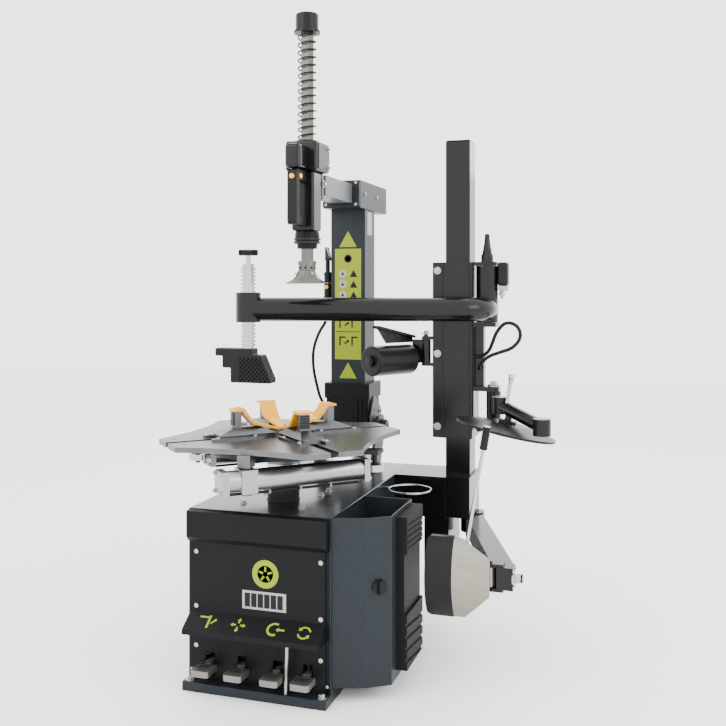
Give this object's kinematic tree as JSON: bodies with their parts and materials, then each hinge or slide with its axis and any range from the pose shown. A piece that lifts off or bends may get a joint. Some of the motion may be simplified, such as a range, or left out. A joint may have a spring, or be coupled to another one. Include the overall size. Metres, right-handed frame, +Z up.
{
  "type": "tire changer machine",
  "caption": "Tilting-column tyre changer: cabinet with pedals, clamping turntable, mount head on a hex shaft, helper arm with presser, roller and disc, and a side bead breaker.",
  "frame": {"origin": "on the floor, at the centre of the four floor anchor holes", "axes": "+X to the right of the machine, towards the bead breaker; +Y from the pedals to the tilting column; +Z up"},
  "size_m": [1.1833, 1.3222, 2.185],
  "materials": {
    "cabinet_paint": "semi-gloss anthracite powder coat",
    "top_gloss": "glossy dark enamel",
    "black_cover": "satin black moulded cover",
    "zinc": "zinc plated",
    "table_steel": "milled steel",
    "dark_steel": "dark oiled steel",
    "jaw_yellow": "yellow-orange enamel",
    "satin_aluminium": "satin aluminium",
    "chrome": "hard chrome",
    "arm_black": "gloss black enamel",
    "pad_rubber": "moulded rubber",
    "spring_steel": "black spring steel",
    "blade_steel": "brushed beige steel",
    "pedal_metal": "cast pedal, satin",
    "button_yellow": "yellow button",
    "grip_black": "black moulded grip",
    "nylon_black": "black nylon",
    "hose_black": "black air hose",
    "light_grey_cast": "light grey cast arm"
  },
  "bodies": {
    "cabinet": {"base_frame": "cabinet_paint", "side_panels": "cabinet_paint", "rear_panel": "cabinet_paint", "front_panel": "black_cover", "front_hood": "black_cover", "pedal_hood": "black_cover", "fasteners": "zinc", "top_plate": "top_gloss", "side_box": "cabinet_paint", "wheel_pad": "pad_rubber", "gearbox": "dark_steel", "drive_motor": "satin_aluminium", "column_bracket": "dark_steel", "tilt_barrel": "satin_aluminium", "assist_beam": "arm_black", "assist_column": "arm_black", "bucket_ring": "chrome"},
    "turntable": {"table_plate": "table_steel", "table_hub": "table_steel"},
    "cam": {"cam_disc": "dark_steel"},
    "column": {"column_foot": "cabinet_paint", "column_tube": "cabinet_paint", "head_shell": "cabinet_paint", "air_gun": "nylon_black", "air_hose": "hose_black"},
    "gun_trigger": {"gun_button": "button_yellow"},
    "tilt_ram": {"tilt_rod": "chrome"},
    "reach_arm": {"slide_arm": "light_grey_cast", "tool_head_body": "arm_black", "operator_grip": "grip_black"},
    "lock_key": {"lock_button": "button_yellow"},
    "release_key": {"release_button": "button_yellow"},
    "tool_shaft": {"hex_shaft": "zinc", "mount_head": "table_steel", "return_spring": "spring_steel"},
    "carriage": {"carriage_sleeve": "arm_black", "pivot_post": "arm_black", "loop_hose": "hose_black"},
    "swing_arm": {"upper_arm": "arm_black"},
    "presser": {"presser_rod": "chrome", "presser_foot": "nylon_black"},
    "roller_carrier": {"roller_arm": "arm_black"},
    "roller_drum": {"roller": "nylon_black"},
    "disc_carrier": {"disc_arm": "arm_black"},
    "dish": {"bead_disc": "nylon_black"},
    "breaker_arm": {"bead_arm": "arm_black"},
    "breaker_blade": {"bead_blade": "blade_steel"},
    "switch_handle": {"switch_knob": "nylon_black"},
    "jaw_1_slide": {"jaw_1": "jaw_yellow"},
    "pedal_1_lever": {"pedal_1": "pedal_metal"},
    "jaw_2_slide": {"jaw_2": "jaw_yellow"},
    "pedal_2_lever": {"pedal_2": "pedal_metal"},
    "jaw_3_slide": {"jaw_3": "jaw_yellow"},
    "pedal_3_lever": {"pedal_3": "pedal_metal"},
    "jaw_4_slide": {"jaw_4": "jaw_yellow"},
    "pedal_4_lever": {"pedal_4": "pedal_metal"},
    "ram_1": {"clamp_barrel_1": "satin_aluminium"},
    "ram_rod_1": {"clamp_rod_1": "chrome"},
    "ram_2": {"clamp_barrel_2": "satin_aluminium"},
    "ram_rod_2": {"clamp_rod_2": "chrome"}
  },
  "joints": [
    {"name": "turntable_spin", "type": "hinge", "parent": "cabinet", "child": "turntable", "pos_m": [0, -0.24, 0.6], "axis": [0, 0, 1], "continuous": true},
    {"name": "jaw_1_travel", "type": "slide", "parent": "turntable", "child": "jaw_1_slide", "axis": [0.7071, 0.7071, 0], "range_m": [0, 0.15]},
    {"name": "jaw_2_travel", "type": "slide", "parent": "turntable", "child": "jaw_2_slide", "axis": [-0.7071, 0.7071, 0], "range_m": [0, 0.15]},
    {"name": "jaw_3_travel", "type": "slide", "parent": "turntable", "child": "jaw_3_slide", "axis": [-0.7071, -0.7071, 0], "range_m": [0, 0.15]},
    {"name": "jaw_4_travel", "type": "slide", "parent": "turntable", "child": "jaw_4_slide", "axis": [0.7071, -0.7071, 0], "range_m": [0, 0.15]},
    {"name": "cam_turn", "type": "hinge", "parent": "turntable", "child": "cam", "pos_m": [0, -0.24, 0.7], "axis": [0, 0, 1], "range_deg": [0, 40]},
    {"name": "ram_1_swing", "type": "hinge", "parent": "turntable", "child": "ram_1", "pos_m": [0.00796, -0.5439, 0.672], "axis": [0, 0, 1], "range_deg": [0, 20.36]},
    {"name": "ram_1_stroke", "type": "slide", "parent": "ram_1", "child": "ram_rod_1", "axis": [0.7049, 0.7093, 0], "range_m": [0, 0.12507]},
    {"name": "ram_2_swing", "type": "hinge", "parent": "turntable", "child": "ram_2", "pos_m": [-0.00796, 0.0639, 0.672], "axis": [0, 0, 1], "range_deg": [0, 20.36]},
    {"name": "ram_2_stroke", "type": "slide", "parent": "ram_2", "child": "ram_rod_2", "axis": [-0.7049, -0.7093, 0], "range_m": [0, 0.12507]},
    {"name": "column_tilt", "type": "hinge", "parent": "cabinet", "child": "column", "pos_m": [0, 0.47, 0.69], "axis": [-1, 0, 0], "range_deg": [0, 25]},
    {"name": "tilt_ram_stroke", "type": "slide", "parent": "cabinet", "child": "tilt_ram", "axis": [0, 0, -1], "range_m": [0, 0.0483]},
    {"name": "gun_trigger_press", "type": "slide", "parent": "column", "child": "gun_trigger", "axis": [0, 1, 0], "range_m": [0, 0.004], "stiffness_N_per_m": 900, "springref_m": -0.003},
    {"name": "reach_arm_slide", "type": "slide", "parent": "column", "child": "reach_arm", "axis": [0, -1, 0], "range_m": [0, 0.2]},
    {"name": "lock_button_press", "type": "slide", "parent": "reach_arm", "child": "lock_key", "axis": [0, 1, 0], "range_m": [0, 0.004], "stiffness_N_per_m": 900, "springref_m": -0.003},
    {"name": "release_button_press", "type": "slide", "parent": "reach_arm", "child": "release_key", "axis": [-1, 0, 0], "range_m": [0, 0.004], "stiffness_N_per_m": 900, "springref_m": -0.003},
    {"name": "tool_shaft_slide", "type": "slide", "parent": "reach_arm", "child": "tool_shaft", "axis": [0, 0, 1], "range_m": [-0.27, 0], "stiffness_N_per_m": 500, "springref_m": 0.4, "deforming": ["return_spring"]},
    {"name": "pedal_1_press", "type": "hinge", "parent": "cabinet", "child": "pedal_1_lever", "pos_m": [-0.158, -0.38, 0.08], "axis": [1, 0, 0], "range_deg": [0, 11], "stiffness_Nm_per_rad": 25, "springref_deg": -14.32},
    {"name": "pedal_2_press", "type": "hinge", "parent": "cabinet", "child": "pedal_2_lever", "pos_m": [-0.05, -0.38, 0.08], "axis": [1, 0, 0], "range_deg": [0, 11], "stiffness_Nm_per_rad": 25, "springref_deg": -14.32},
    {"name": "pedal_3_press", "type": "hinge", "parent": "cabinet", "child": "pedal_3_lever", "pos_m": [0.067, -0.38, 0.08], "axis": [1, 0, 0], "range_deg": [0, 11], "stiffness_Nm_per_rad": 25, "springref_deg": -14.32},
    {"name": "pedal_4_press", "type": "hinge", "parent": "cabinet", "child": "pedal_4_lever", "pos_m": [0.164, -0.38, 0.08], "axis": [1, 0, 0], "range_deg": [0, 11], "stiffness_Nm_per_rad": 25, "springref_deg": -14.32},
    {"name": "carriage_lift", "type": "slide", "parent": "cabinet", "child": "carriage", "axis": [0, 0, 1], "range_m": [-0.06, 0.15]},
    {"name": "upper_arm_swing", "type": "hinge", "parent": "carriage", "child": "swing_arm", "pos_m": [0.563, 0.34, 1.2], "axis": [0, 0, 1], "range_deg": [0, 55]},
    {"name": "presser_slide", "type": "slide", "parent": "swing_arm", "child": "presser", "axis": [0, 0, 1], "range_m": [-0.05, 0.085]},
    {"name": "roller_arm_swing", "type": "hinge", "parent": "carriage", "child": "roller_carrier", "pos_m": [0.34, 0.31, 1], "axis": [0, 0, 1], "range_deg": [-30, 40]},
    {"name": "roller_spin", "type": "hinge", "parent": "roller_carrier", "child": "roller_drum", "pos_m": [0.235, 0.2, 0.975], "axis": [-0.5251, -0.8511, 0], "continuous": true},
    {"name": "disc_arm_swing", "type": "hinge", "parent": "carriage", "child": "disc_carrier", "pos_m": [0.59, 0.32, 0.8], "axis": [0, 0, 1], "range_deg": [-24, 60]},
    {"name": "bead_disc_spin", "type": "hinge", "parent": "disc_carrier", "child": "dish", "pos_m": [0.665, 0.13, 0.756], "axis": [0.2062, 0.0658, 0.9763], "continuous": true},
    {"name": "bead_arm_swing", "type": "hinge", "parent": "cabinet", "child": "breaker_arm", "pos_m": [0.495, 0.41, 0.363], "axis": [0, 0, 1], "range_deg": [0, 35]},
    {"name": "bead_blade_swivel", "type": "hinge", "parent": "breaker_arm", "child": "breaker_blade", "pos_m": [0.672, -0.234, 0.363], "axis": [0, 0, 1], "range_deg": [-8, 12]},
    {"name": "switch_turn", "type": "hinge", "parent": "cabinet", "child": "switch_handle", "pos_m": [0.366, -0.3775, 0.344], "axis": [0.5752, -0.818, 0], "range_deg": [-60, 60]}
  ],
  "couplings": [
    {"joint": "jaw_2_travel", "follows": "jaw_1_travel", "ratio": 1},
    {"joint": "jaw_3_travel", "follows": "jaw_1_travel", "ratio": 1},
    {"joint": "jaw_4_travel", "follows": "jaw_1_travel", "ratio": 1},
    {"joint": "cam_turn", "follows": "jaw_1_travel", "rad_per_m": 4.6542},
    {"joint": "ram_1_swing", "follows": "jaw_1_travel", "rad_per_m": 2.3626},
    {"joint": "ram_1_stroke", "follows": "jaw_1_travel", "ratio": 0.83047},
    {"joint": "ram_2_swing", "follows": "jaw_1_travel", "rad_per_m": 2.3626},
    {"joint": "ram_2_stroke", "follows": "jaw_1_travel", "ratio": 0.83047},
    {"joint": "tilt_ram_stroke", "follows": "column_tilt", "m_per_rad": 0.10848}
  ]
}
